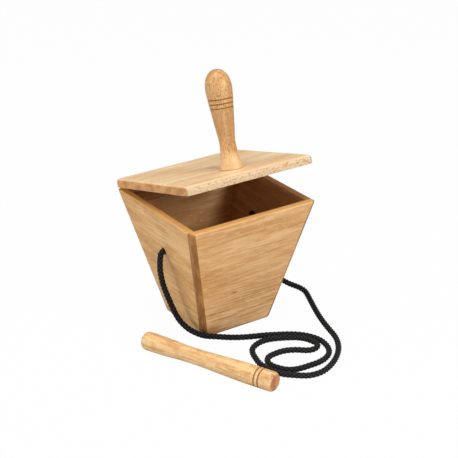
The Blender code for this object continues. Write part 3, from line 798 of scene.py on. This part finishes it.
@dataclass
class Lid:
    """Lid board and its turned handle, placed as on the closed box and opened about the hinge's axis."""

    box: HopperBox
    thickness: float = 0.0114
    corner_round: float = 0.006
    top_round: float = 0.0050
    arris: float = 0.0005
    open_deg: float = 15.3
    pivot_y: float = 0.0957
    pivot_z: float = 0.1752
    handle_front: float = 0.0453
    handle_length: float = 0.1272
    foot: float = 0.0153
    waist: float = 0.01035
    head: float = 0.01715
    waist_height: float = 0.031
    head_height: float = 0.102
    fullness: float = 2.15
    swell: tuple[Pair, ...] = ((0.80, 0.85), (0.62, 0.635), (0.44, 0.43), (0.26, 0.22))
    flare: tuple[Pair, ...] = ((0.77, 0.12), (0.56, 0.26), (0.35, 0.50), (0.14, 0.81))
    grooves: tuple[float, ...] = (0.0785, 0.0841, 0.0899)
    groove_width: float = 0.0013
    groove_depth: float = 0.0006
    screw_shank: float = 0.0023
    bore_depth: float = 0.026
    sink_radius: float = 0.0043
    sink_depth: float = 0.0030

    @property
    def opened(self) -> Matrix:
        """Turn from the closed lid to the lid at rest."""
        hub = Vector((0, self.pivot_y, self.pivot_z))
        turn = Matrix.Rotation(math.radians(-self.open_deg), 4, "X")
        return Matrix.Translation(hub) @ turn @ Matrix.Translation(-hub)

    @property
    def base(self) -> float:
        """Height of the closed lid's underside."""
        return self.box.height + SMALL_GAP

    @property
    def handle_foot(self) -> Vector:
        """Middle of the handle's foot on the closed lid."""
        y = -self.box.top_depth / 2 + self.handle_front
        return Vector((0, y, self.base + self.thickness + SMALL_GAP))

    def turned_to_rest(self, direction: Point) -> Point:
        """Return a direction of the closed lid as it stands at rest."""
        return tuple(self.opened.to_3x3() @ Vector(direction))

    def outline(self, inset: float) -> Profile:
        """Return the lid's plan, a rounded rectangle, drawn in by an inset."""
        half_x, half_y = self.box.top_width / 2, self.box.top_depth / 2
        radius = self.corner_round
        points: Profile = []
        corners = ((1, 1, 0), (-1, 1, 90), (-1, -1, 180), (1, -1, 270))
        for x, y, start in corners:
            centre = (x * (half_x - radius), y * (half_y - radius))
            points += arc(centre, radius - inset, start, start + 90, 6)
        return points

    def board(self) -> Piece:
        """Make the lid board by stacking its plan, drawn in along the rounded edges.

        Returns:
            The board, in its place at rest.
        """
        low, high = self.base, self.base + self.thickness
        levels = arc((self.arris, low + self.arris), self.arris, 270, 180, 3)
        levels += arc((self.top_round, high - self.top_round), self.top_round, 180, 90, 7)
        bm = bmesh.new()
        rings = [[bm.verts.new((x, y, height)) for x, y in self.outline(inset)] for inset, height in levels]
        for first, second in zip(rings, rings[1:]):
            for i in range(len(first)):
                j = (i + 1) % len(first)
                bm.faces.new((first[i], first[j], second[j], second[i]))
        bm.faces.new(rings[0][::-1])
        bm.faces.new(rings[-1])
        shadow = Mark(tuple(self.opened @ Vector((-0.0032, -0.0060, self.base + self.thickness))),
                      0.0100, 0.0190, 0.6, rgb(202, 154, 112))
        wood = replace(LID_WOOD, grain=self.turned_to_rest((1, 0, 0)), face=self.turned_to_rest(UP),
                       marks=(shadow,))
        bmesh.ops.transform(bm, matrix=self.opened, verts=bm.verts)
        piece = new_piece(bm, "lid_board_looks", wood.material())
        cut_with(piece, [self.countersink()])
        even_normals(piece)
        return piece

    def countersink(self) -> Piece:
        """Return the cutter of the handle screw's hole."""
        radius, depth, top = self.sink_radius, self.sink_depth, 2 * self.thickness
        profile = [(0.0, top), (self.screw_shank, top), (self.screw_shank, depth), (radius, 0.0),
                   (radius + depth, -depth), (0.0, -depth)]
        place = Matrix.Translation((0, self.handle_foot.y, self.base))
        return turned("countersink", profile, 32, self.opened @ place)

    def handle_profile(self) -> Profile:
        """Return the handle's outline from its tip to its foot, and in to the screw's bore."""
        dome = self.handle_length - self.head_height
        tip: Profile = [(0.0, self.handle_length)]
        for i in range(1, 16):
            angle = math.radians(90 * i / 16)
            across, up = (level ** (2 / self.fullness) for level in (math.sin(angle), math.cos(angle)))
            tip.append((self.head * across, self.head_height + dome * up))
        stem = [(self.head, self.head_height)]
        for up, share in self.swell:
            height = between(self.waist_height, self.head_height, up)
            stem.append((between(self.waist, self.head, share), height))
        stem.append((self.waist, self.waist_height))
        for up, share in self.flare:
            stem.append((between(self.waist, self.foot, share), self.waist_height * up))
        stem.append((self.foot, self.groove_depth))
        body = tip + smooth_profile(stem, 72)
        profile = grooved(body, self.grooves, self.groove_width, self.groove_depth)
        return profile + [(self.foot - self.groove_depth, 0.0), (self.screw_shank, 0.0),
                          (self.screw_shank, self.bore_depth), (0.0, self.bore_depth)]

    def handle(self) -> Piece:
        """Make the turned handle, in its place at rest."""
        place = self.opened @ Matrix.Translation(self.handle_foot)
        # A darker stretch of the stem, and near the foot a painted glow: light bounced up from the lid,
        # painted as a paler stretch.
        tones_and_painted_glow = (Mark(tuple(place @ Vector((0, 0, 0.060))), 0.026, 0.040, 0.5, rgb(186, 134, 80)),
                  Mark(tuple(place @ Vector((0, 0, 0.006))), 0.020, 0.040, 0.55, rgb(250, 212, 160)))
        wood = replace(HANDLE_WOOD, grain=self.turned_to_rest(UP), face=self.turned_to_rest((0, -1, 0)),
                       grooves=self.grooves, groove_origin=tuple(place.translation), marks=tones_and_painted_glow)
        return turned("lid_handle_looks", self.handle_profile(), 72, place, wood.material())

    def build(self) -> None:
        """Make the lid board and the handle."""
        hand_in(self.board(), Body.LID, Slot.LID, "lid_board")
        hand_in(self.handle(), Body.LID, Slot.HANDLE, "lid_handle")


@dataclass(frozen=True)
class Screw:
    """Countersunk screw with a cross recess, its flat head up at height 0."""

    head: float
    head_depth: float
    shank: float
    length: float
    tip: float

    def shape(self, name: str, material: Finish, place: Matrix) -> Piece:
        """Make the screw.

        Args:
            name: The piece's name.
            material: Its finish.
            place: Where the middle of its head goes; the screw points down from it.

        Returns:
            The screw.
        """
        rim, core = self.head * 0.07, self.shank * 0.8
        profile = [(0.0, 0.0), (self.head - rim, 0.0), (self.head, -rim), (self.shank, -self.head_depth)]
        pitch = self.shank * 0.9
        turns = int((self.length - self.head_depth - self.tip) / pitch)
        for i in range(turns):
            start = -self.head_depth - i * pitch
            profile += [(core, start - pitch * 0.25), (self.shank, start - pitch * 0.75)]
        profile += [(core, self.tip - self.length), (0.0, -self.length)]
        piece = turned(name, profile, 28, Matrix.Identity(4), material)
        cutters = []
        half = Vector((self.head * 0.575, self.head * 0.12, self.head * 0.35))
        for turn in (0.0, math.pi / 2):
            bm = block(-half, half)
            for vert in bm.verts:
                if vert.co.z < 0:
                    vert.co.xy *= 0.45
            bmesh.ops.transform(bm, matrix=Matrix.Rotation(turn, 4, "Z"), verts=bm.verts)
            cutters.append(new_piece(bm, name + "_slot"))
        cut_with(piece, cutters)
        piece.data.transform(place)
        return piece


@dataclass
class Hinges:
    """Two three-knuckle butt hinges on the back, with their pins and screws."""

    box: HopperBox
    lid: Lid
    offset: float = 0.055
    width: float = 0.024
    leaf: float = 0.0085
    thickness: float = 0.0011
    knuckle: float = 0.0021
    pin: float = 0.0009
    play: float = 0.0003
    spacing: float = 0.015
    from_pin: float = 0.0055
    leaf_corner: float = 0.0012
    knuckle_edge: float = 0.00015
    inset: float = 0.00003
    cap: float = 0.0013
    cap_height: float = 0.0008
    cap_edge: float = 0.0003
    screw_sunk: float = 0.0001
    slot_turn: float = 0.7
    sink: tuple[Pair, ...] = ((0.0, 0.002), (0.0022, 0.002), (0.0022, 0.0), (0.0013, -0.0009),
                              (0.0013, -0.004), (0.0, -0.004))
    small_screw: Screw = Screw(head=0.0019, head_depth=0.0009, shank=0.0010, length=0.0075, tip=0.0020)
    handle_screw: Screw = Screw(head=0.0040, head_depth=0.0026, shank=0.0020, length=0.036, tip=0.005)

    @property
    def outside(self) -> float:
        """Where a leaf's outer face lies, measured from the pin."""
        return self.thickness - self.knuckle

    def screw_spot(self, end: int, sunk: float = 0.0) -> Matrix:
        """Return the place of a screw's head on a leaf, at its end -1 or 1 along the pin."""
        spot = Matrix.Translation((end * self.spacing / 2, self.outside - sunk, self.from_pin))
        return spot @ Matrix.Rotation(-math.pi / 2, 4, "X")

    def leaf_shape(self, name: str, spans: Sequence[Pair], material: Finish) -> Piece:
        """Make a leaf standing up from the pin's axis, its wood side towards -Y.

        Args:
            name: The piece's name.
            spans: Where its knuckles start and end along the pin.
            material: Its finish.

        Returns:
            The leaf at the origin.
        """
        wood, outside, half = -self.knuckle, self.outside, self.width / 2
        reach, edge, inset = self.knuckle + SMALL_GAP, self.knuckle_edge, self.inset
        bm = block((-half, wood, reach), (half, outside, self.leaf))
        corners = [e for e in bm.edges if abs((e.verts[0].co - e.verts[1].co).normalized().y) > 0.9
                   and e.verts[0].co.z > reach + SMALL_GAP]
        bmesh.ops.bevel(bm, geom=corners, offset=self.leaf_corner, segments=4, profile=0.5, affect="EDGES")
        piece = new_piece(bm, name, material)
        joined = []
        for low, high in spans:
            length = high - low
            profile = [(0.0, length), (self.knuckle - edge, length), (self.knuckle, length - edge),
                       (self.knuckle, edge), (self.knuckle - edge, 0.0), (0.0, 0.0)]
            joined.append(turned(name + "_barrel", profile, 32, Matrix.Translation((low, 0, 0)) @ Z_TO_X))
            neck = block((low + inset, wood + inset, 0.0),
                         (high - inset, outside - inset, reach + SMALL_GAP))
            joined.append(new_piece(neck, name + "_neck"))
        bore = self.pin + self.play
        profile = [(0.0, self.width), (bore, self.width), (bore, -self.width), (0.0, -self.width)]
        cut = [turned(name + "_bore", profile, 24, Z_TO_X)]
        cut += [turned(name + "_sink", list(self.sink), 28, self.screw_spot(end)) for end in (-1, 1)]
        cut_with(piece, joined, "UNION")
        cut_with(piece, cut)
        return piece

    def pin_profile(self) -> Profile:
        """Return a pin's outline, with a cap at each end."""
        start = self.width / 2 + SMALL_GAP
        end = start + self.cap_height
        top = [(0.0, end), (self.cap - self.cap_edge, end), (self.cap, end - self.cap_edge),
               (self.cap, start)]
        low = [(radius, -height) for radius, height in top[::-1]]
        return top + [(self.pin, start), (self.pin, -start)] + low

    def build(self) -> None:
        """Make both hinges and their screws, and the screw that holds the handle."""
        brass = Metal("hinge_brass_looks", rgb(222, 184, 112), rgb(176, 134, 70), 0.28).material()
        steel = Metal("steel_looks", rgb(196, 196, 198), rgb(150, 150, 152), 0.3).material()
        lid = self.lid
        on_box = (Matrix.Rotation(-math.atan(self.box.depth_slope), 4, "X")
                  @ Matrix.Rotation(math.pi, 4, "Y"))
        on_lid = Matrix.Rotation(math.radians(-lid.open_deg), 4, "X")
        half, sixth = self.width / 2, self.width / 6
        outer = [(-half, -sixth - SMALL_GAP), (sixth + SMALL_GAP, half)]
        for label, side in (("left", -1), ("right", 1)):
            hub = Matrix.Translation((side * self.offset, lid.pivot_y, lid.pivot_z))
            for part, spans, place, body in (("box", outer, hub @ on_box, Body.BOX),
                                             ("lid", [(-sixth, sixth)], hub @ on_lid, Body.LID)):
                node = f"hinge_{label}_{part}_leaf"
                leaf = self.leaf_shape(node + "_looks", spans, brass)
                leaf.data.transform(place)
                hand_in(leaf, body, Slot.BRASS, node)
                for number, end in ((1, -1), (2, 1)):
                    node = f"screw_{label}_{part}_{number}"
                    turn = Matrix.Rotation(self.slot_turn * number + side, 4, "Z")
                    spot = place @ self.screw_spot(end, self.screw_sunk) @ turn
                    screw = self.small_screw.shape(node + "_looks", brass, spot)
                    hand_in(screw, body, Slot.BRASS, node)
            node = f"hinge_{label}_pin"
            pin = turned(node + "_looks", self.pin_profile(), 28, hub @ Z_TO_X, steel)
            hand_in(pin, Body.BOX, Slot.STEEL, node)
        spot = Matrix.Translation((0, lid.handle_foot.y, lid.base + 4 * self.screw_sunk))
        upwards = lid.opened @ spot @ Matrix.Rotation(math.pi, 4, "X")
        screw = self.handle_screw.shape("handle_screw_looks", steel, upwards)
        hand_in(screw, Body.LID, Slot.STEEL, "handle_screw")


@dataclass
class NeckCord:
    """Braided cord from hole to hole, with a stopper knot inside each side board."""

    box: HopperBox
    diameter: float = 0.0076
    lift: float = 0.0001
    cells_round: int = 5
    cell_length: float = 0.0055
    yarns: int = 3
    girth: float = 1.09
    crown: float = 0.9
    sides: int = 36
    ring_step: float = 0.00055
    relief: float = 0.0011
    knot_wrap: float = 0.0049
    knot_neck: float = 0.0032
    knot_depth: Pair = (0.0040, 0.0092)
    knot_start_deg: float = -70.0
    knot_step_deg: float = 54.0
    tail_bend: Point = (0.0030, 0.0018, 0.0004)
    tail_end: Point = (0.0128, 0.0078, 0.0072)
    fall: tuple[Point, ...] = (
        (-0.0843, -0.0003, 0.1139), (-0.0866, -0.0014, 0.1103), (-0.0886, -0.0034, 0.1050),
        (-0.0904, -0.0058, 0.0975), (-0.0902, -0.0072, 0.0856), (-0.0852, -0.0074, 0.0643),
        (-0.0782, -0.0105, 0.0411), (-0.0718, -0.0160, 0.0220), (-0.0675, -0.0311, 0.0130),
        (-0.0625, -0.0450, 0.0100), (-0.0559, -0.0550, 0.0084), (-0.0449, -0.0617, 0.0068),
        (-0.0320, -0.0698, 0.0053), (-0.0163, -0.0790, 0.0044),
    )
    laid: tuple[Pair, ...] = (
        (0.0000, -0.0861), (0.0156, -0.0930), (0.0317, -0.1019), (0.0477, -0.1125), (0.0594, -0.1267),
        (0.0653, -0.1445), (0.0636, -0.1598), (0.0576, -0.1734), (0.0449, -0.1843), (0.0291, -0.1890),
        (0.0139, -0.1890), (-0.0008, -0.1878), (-0.0126, -0.1827), (-0.0197, -0.1733),
        (-0.0235, -0.1630), (-0.0230, -0.1520), (-0.0152, -0.1423), (-0.0037, -0.1397),
        (0.0092, -0.1400), (0.0202, -0.1442), (0.0281, -0.1497), (0.0354, -0.1559), (0.0437, -0.1583),
        (0.0521, -0.1554), (0.0563, -0.1479), (0.0556, -0.1411), (0.0534, -0.1333), (0.0492, -0.1262),
        (0.0419, -0.1192), (0.0314, -0.1127), (0.0187, -0.1067), (0.0060, -0.1035), (-0.0077, -0.1057),
        (-0.0198, -0.1129), (-0.0266, -0.1239), (-0.0304, -0.1359), (-0.0335, -0.1498),
        (-0.0327, -0.1630), (-0.0298, -0.1758), (-0.0241, -0.1877), (-0.0141, -0.1979),
        (-0.0014, -0.2077), (0.0154, -0.2107), (0.0336, -0.2053), (0.0516, -0.1941), (0.0666, -0.1805),
        (0.0778, -0.1658), (0.0862, -0.1494), (0.0913, -0.1323), (0.0973, -0.1105), (0.1060, -0.0845),
        (0.1169, -0.0573), (0.1267, -0.0341), (0.1324, -0.0159), (0.1313, -0.0022), (0.1279, 0.0113),
        (0.1263, 0.0257),
    )
    climb: tuple[Point, ...] = (
        (0.1238, 0.0388, 0.0039), (0.1175, 0.0480, 0.0052), (0.1100, 0.0522, 0.0100),
        (0.1052, 0.0492, 0.0200), (0.1021, 0.0390, 0.0334), (0.1002, 0.0270, 0.0531),
        (0.0981, 0.0145, 0.0796), (0.0957, 0.0070, 0.0988), (0.0934, 0.0036, 0.1075),
        (0.0878, 0.0009, 0.1134),
    )

    def route(self) -> list[Point]:
        """Return the chosen points of the cord's middle line, from knot to knot."""
        ends = []
        for side in Side:
            start, heading = self.box.hole(side)
            ends.append([tuple(start - heading * self.box.wall), tuple(start)])
        laid = [(x, y, self.diameter / 2 + self.lift) for x, y in self.laid]
        return [*ends[0], *self.fall, *laid, *self.climb, *ends[1][::-1]]

    def braided(self, line: np.ndarray, name: str, material: Finish) -> Piece:
        """Make a tube along a line whose surface is a braid of plump strands.

        Args:
            line: Evenly spaced points of the middle line.
            name: The piece's name.
            material: Its finish.

        Returns:
            The tube, with each point's height and yarn direction as attributes.
        """
        tangents = np.gradient(line, axis=0)
        tangents /= np.linalg.norm(tangents, axis=1)[:, None]
        first = np.cross(tangents[0], UP)
        normals = [first / np.linalg.norm(first)]
        for tangent in tangents[1:]:
            side = normals[-1] - tangent * np.dot(normals[-1], tangent)
            normals.append(side / np.linalg.norm(side))
        normals = np.array(normals)
        others = np.cross(tangents, normals)

        angles = np.arange(self.sides) / self.sides
        around, forward = self.cells_round * angles[None, :], measured(line)[:, None] / self.cell_length
        first_way, other_way = around + forward, around - forward
        over = (np.floor(first_way) + np.floor(other_way)) % 2 < 0.5
        across = np.abs(np.sin(np.pi * np.where(over, first_way, other_way)))
        length_way = np.abs(np.sin(np.pi * np.where(over, other_way, first_way)))
        lift = across ** self.crown * length_way ** self.crown
        yarn = self.yarns * np.where(over, first_way, other_way)
        radius = self.diameter / 2 * self.girth - self.relief * (1 - lift)

        turn = (angles * math.tau)[None, :, None]
        rays = np.cos(turn) * normals[:, None, :] + np.sin(turn) * others[:, None, :]
        spots = line[:, None, :] + rays * radius[:, :, None]
        verts = [tuple(v) for v in spots.reshape(-1, 3)] + [tuple(line[0]), tuple(line[-1])]
        pairs = [(j, (j + 1) % self.sides) for j in range(self.sides)]
        last = (len(line) - 1) * self.sides
        faces = [(ring + j, ring + k, ring + self.sides + k, ring + self.sides + j)
                 for ring in range(0, last, self.sides) for j, k in pairs]
        for j, k in pairs:
            faces += [(len(verts) - 2, k, j), (len(verts) - 1, last + j, last + k)]
        mesh = bpy.data.meshes.new(name)
        mesh.from_pydata(verts, [], faces)
        for key, values in (("lift", lift), ("yarn", yarn)):
            layer = mesh.attributes.new(key, "FLOAT", "POINT")
            layer.data.foreach_set("value", np.append(values.reshape(-1), [0.0, 0.0]).astype(np.float32))
        mesh.materials.append(material)
        mesh.shade_smooth()
        return add(name, mesh)

    def knot_line(self, side: Side) -> np.ndarray:
        """Return the middle line of a stopper knot: one and a half wraps, then the tail leaning back.

        Args:
            side: Which board the knot stops at.

        Returns:
            The line's points.
        """
        start, heading = self.box.hole(side)
        inward = -heading
        across = Vector((0, 1, 0))
        up = across.cross(inward) * (1 if across.cross(inward).z > 0 else -1)
        base = start + inward * (self.box.wall + SMALL_GAP)

        def reach(origin: Vector, steps: Point) -> Vector:
            """Go across, up and inwards from an origin."""
            return origin + across * steps[0] + up * steps[1] + inward * steps[2]

        points = [base + inward * self.knot_neck]
        for i in range(11):
            angle = math.radians(self.knot_start_deg + self.knot_step_deg * i)
            wrap = (self.knot_wrap * math.cos(angle), self.knot_wrap * math.sin(angle))
            points.append(reach(base, (*wrap, between(*self.knot_depth, i / 10))))
        points += [reach(points[-1], self.tail_bend), reach(base, self.tail_end)]
        return smooth_curve([tuple(p) for p in points], 110)

    def build(self) -> None:
        material = Braid("braid_looks").material()
        route = self.route()
        line = smooth_curve(route, round(measured(np.array(route))[-1] / self.ring_step))
        cord = hand_in(self.braided(line, "neck_cord_looks", material), Body.BOX, Slot.BRAID, "neck_cord")
        for side, node in ((Side.LEFT, "knot_left"), (Side.RIGHT, "knot_right")):
            knot = self.braided(self.knot_line(side), node + "_looks", material)
            hand_in(knot, Body.BOX, Slot.BRAID, node)
        exit_point, _ = self.box.hole(Side.LEFT)


@dataclass
class Beater:
    """Turned beater lying on the surface, its sizes measured from its left end."""

    length: float = 0.2012
    right_end: float = 0.0127
    left_end: float = 0.0122
    waist: float = 0.0103
    left_round: float = 0.0075
    right_round: float = 0.0060
    round_deg: float = 80.0
    swell: tuple[Pair, ...] = (
        (0.85, 1.0), (0.77, 0.94), (0.70, 0.79), (0.56, 0.36), (0.49, 0.15), (0.41, 0.0), (0.34, 0.03),
        (0.27, 0.22), (0.20, 0.52), (0.12, 0.73),
    )
    grooves: tuple[float, ...] = (0.1758, 0.1815)
    groove_width: float = 0.0013
    groove_depth: float = 0.0006
    left_x: float = -0.1294
    left_y: float = -0.0260
    heading_deg: float = -67.55

    def profile(self) -> Profile:
        """Return the outline from the right end to the left one."""
        high, low = self.right_round, self.left_round
        shaft = [(self.right_end, self.length - high)]
        shaft += [(between(self.waist, self.right_end, share), self.length * up) for up, share in self.swell]
        shaft.append((self.left_end, low))
        outline: Profile = [(0.0, self.length)]
        outline += arc((self.right_end - high, self.length - high), high, self.round_deg, 0, 9)
        outline += smooth_profile(shaft, 80)[1:-1]
        outline += arc((self.left_end - low, low), low, 0, -self.round_deg, 10)
        return grooved(outline + [(0.0, 0.0)], self.grooves, self.groove_width, self.groove_depth)

    def build(self) -> None:
        """Make the beater where it lies."""
        heading = Matrix.Rotation(math.radians(self.heading_deg), 4, "Z")
        start = Vector((self.left_x, self.left_y, self.right_end))
        place = Matrix.Translation(start) @ heading @ Z_TO_X
        grain = tuple(heading.to_3x3() @ Vector((1, 0, 0)))
        tip = start + Vector(grain) * self.length - Vector(UP).cross(Vector(grain)) * 0.0040
        shadow = Mark(tuple(tip), 0.0070, 0.0048, 0.8, rgb(168, 98, 42))
        wood = replace(BEATER_WOOD, grain=grain, grooves=self.grooves, groove_origin=tuple(start),
                       marks=(shadow,))
        piece = turned("beater_looks", self.profile(), 72, place, wood.material())
        hand_in(piece, Body.BEATER, Slot.BEATER, "beater")


@dataclass
class Studio:
    """Camera, soft lights, pale floor and white surroundings."""

    azimuth_deg: float = -33.05923
    elevation_deg: float = 24.44432
    roll_deg: float = -0.88981
    distance: float = 1.9562
    target: Point = (0.05706, 0.05629, 0.0900)
    focal_px: float = 1420.09
    frame_px: float = 458.0
    sensor_mm: float = 36.0
    ambient: float = 0.18
    white_share: float = 0.98
    lights: tuple[tuple[str, Point, Point, float, float], ...] = (
        ("top_light", (-0.2, -0.1, 1.9), (0, 0, 0.1), 1.2, 27.0),
        ("left_light", (-1.45, 0.78, 0.42), (0, 0, 0.1), 1.1, 11.0),
        ("key_light", (0.74, -1.63, 1.06), (0, 0, 0.12), 0.4, 16.0),
        ("low_light", (-0.75, -1.80, 0.12), (0, 0, 0.05), 0.5, 12.5),
    )

    def camera(self) -> None:
        """Place the camera at the photographed angle."""
        azimuth, elevation, roll = map(math.radians, (self.azimuth_deg, self.elevation_deg, self.roll_deg))
        back = Vector((math.sin(azimuth) * math.cos(elevation), -math.cos(azimuth) * math.cos(elevation),
                       math.sin(elevation)))
        level = Vector((math.cos(azimuth), math.sin(azimuth), 0))
        straight = back.cross(level)
        right = level * math.cos(roll) + straight * math.sin(roll)
        up = straight * math.cos(roll) - level * math.sin(roll)
        data = bpy.data.cameras.new("camera")
        data.sensor_width = self.sensor_mm
        data.lens = self.focal_px * self.sensor_mm / self.frame_px
        camera = add("camera", data)
        place = Matrix((right, up, back)).transposed().to_4x4()
        place.translation = Vector(self.target) + back * self.distance
        camera.matrix_world = place
        bpy.context.scene.camera = camera

    def light(self, name: str, place: Point, aim: Point, size: float, energy: float) -> None:
        """Add a square soft light.

        Args:
            name: Its name.
            place: Where it stands.
            aim: The point that it faces.
            size: Length of its side.
            energy: Its power in watts.
        """
        data = bpy.data.lights.new(name, "AREA")
        data.size = size
        data.energy = energy
        lamp = add(name, data)
        lamp.location = place
        lamp.rotation_euler = (Vector(aim) - Vector(place)).to_track_quat("-Z", "Y").to_euler()

    def surroundings(self) -> None:
        """Show white all round, and light the object with less than that."""
        world = bpy.data.worlds.new("surroundings")
        bpy.context.scene.world = world
        world.use_nodes = True
        tree = world.node_tree
        background = tree.nodes["Background"]
        background.inputs["Color"].default_value = (1, 1, 1, 1)
        rays = tree.nodes.new("ShaderNodeLightPath")
        level = tree.nodes.new("ShaderNodeMapRange")
        level.inputs["To Min"].default_value = self.ambient
        level.inputs["To Max"].default_value = 1.0
        tree.links.new(rays.outputs["Is Camera Ray"], level.inputs["Value"])
        tree.links.new(level.outputs[0], background.inputs["Strength"])

    def floor(self) -> None:
        """Lay a pale floor that keeps a faint shadow."""
        bm = bmesh.new()
        bmesh.ops.create_grid(bm, x_segments=8, y_segments=8, size=6.0)
        g = Graph("floor")
        floor = new_piece(bm, "floor", g.material)
        floor.location.z = -SMALL_GAP
        g.feed(g.shader, {"Base Color": (0.6, 0.6, 0.6), "Roughness": 0.9, "Specular IOR Level": 0.0})
        glow = g.node("ShaderNodeEmission", {}, {"Color": (1.0, 1.0, 1.0), "Strength": 1.0})
        seen = g.channel(g.node("ShaderNodeLightPath", {}, {}), "Is Camera Ray") * self.white_share
        both = g.node("ShaderNodeMixShader", {}, {0: seen, 1: g.channel(g.shader, "BSDF"),
                                                  2: g.channel(glow, "Emission")})
        g.feed(g.tree.nodes["Material Output"], {"Surface": g.channel(both, "Shader")})

    def build(self) -> None:
        """Set the lights, the surroundings and the floor."""
        for light in self.lights:
            self.light(*light)
        self.surroundings()
        self.floor()
        bpy.context.scene.view_settings.view_transform = "Standard"


def main() -> None:
    """Build the camera and the cord, then every other piece, and report each."""
    logging.basicConfig(level=logging.INFO, format="%(message)s")
    studio = Studio()
    studio.camera()
    box = HopperBox()
    NeckCord(box).build()
    box.build()
    lid = Lid(box)
    lid.build()
    Hinges(box, lid).build()
    Beater().build()
    studio.build()


if __name__ == "__main__":
    main()
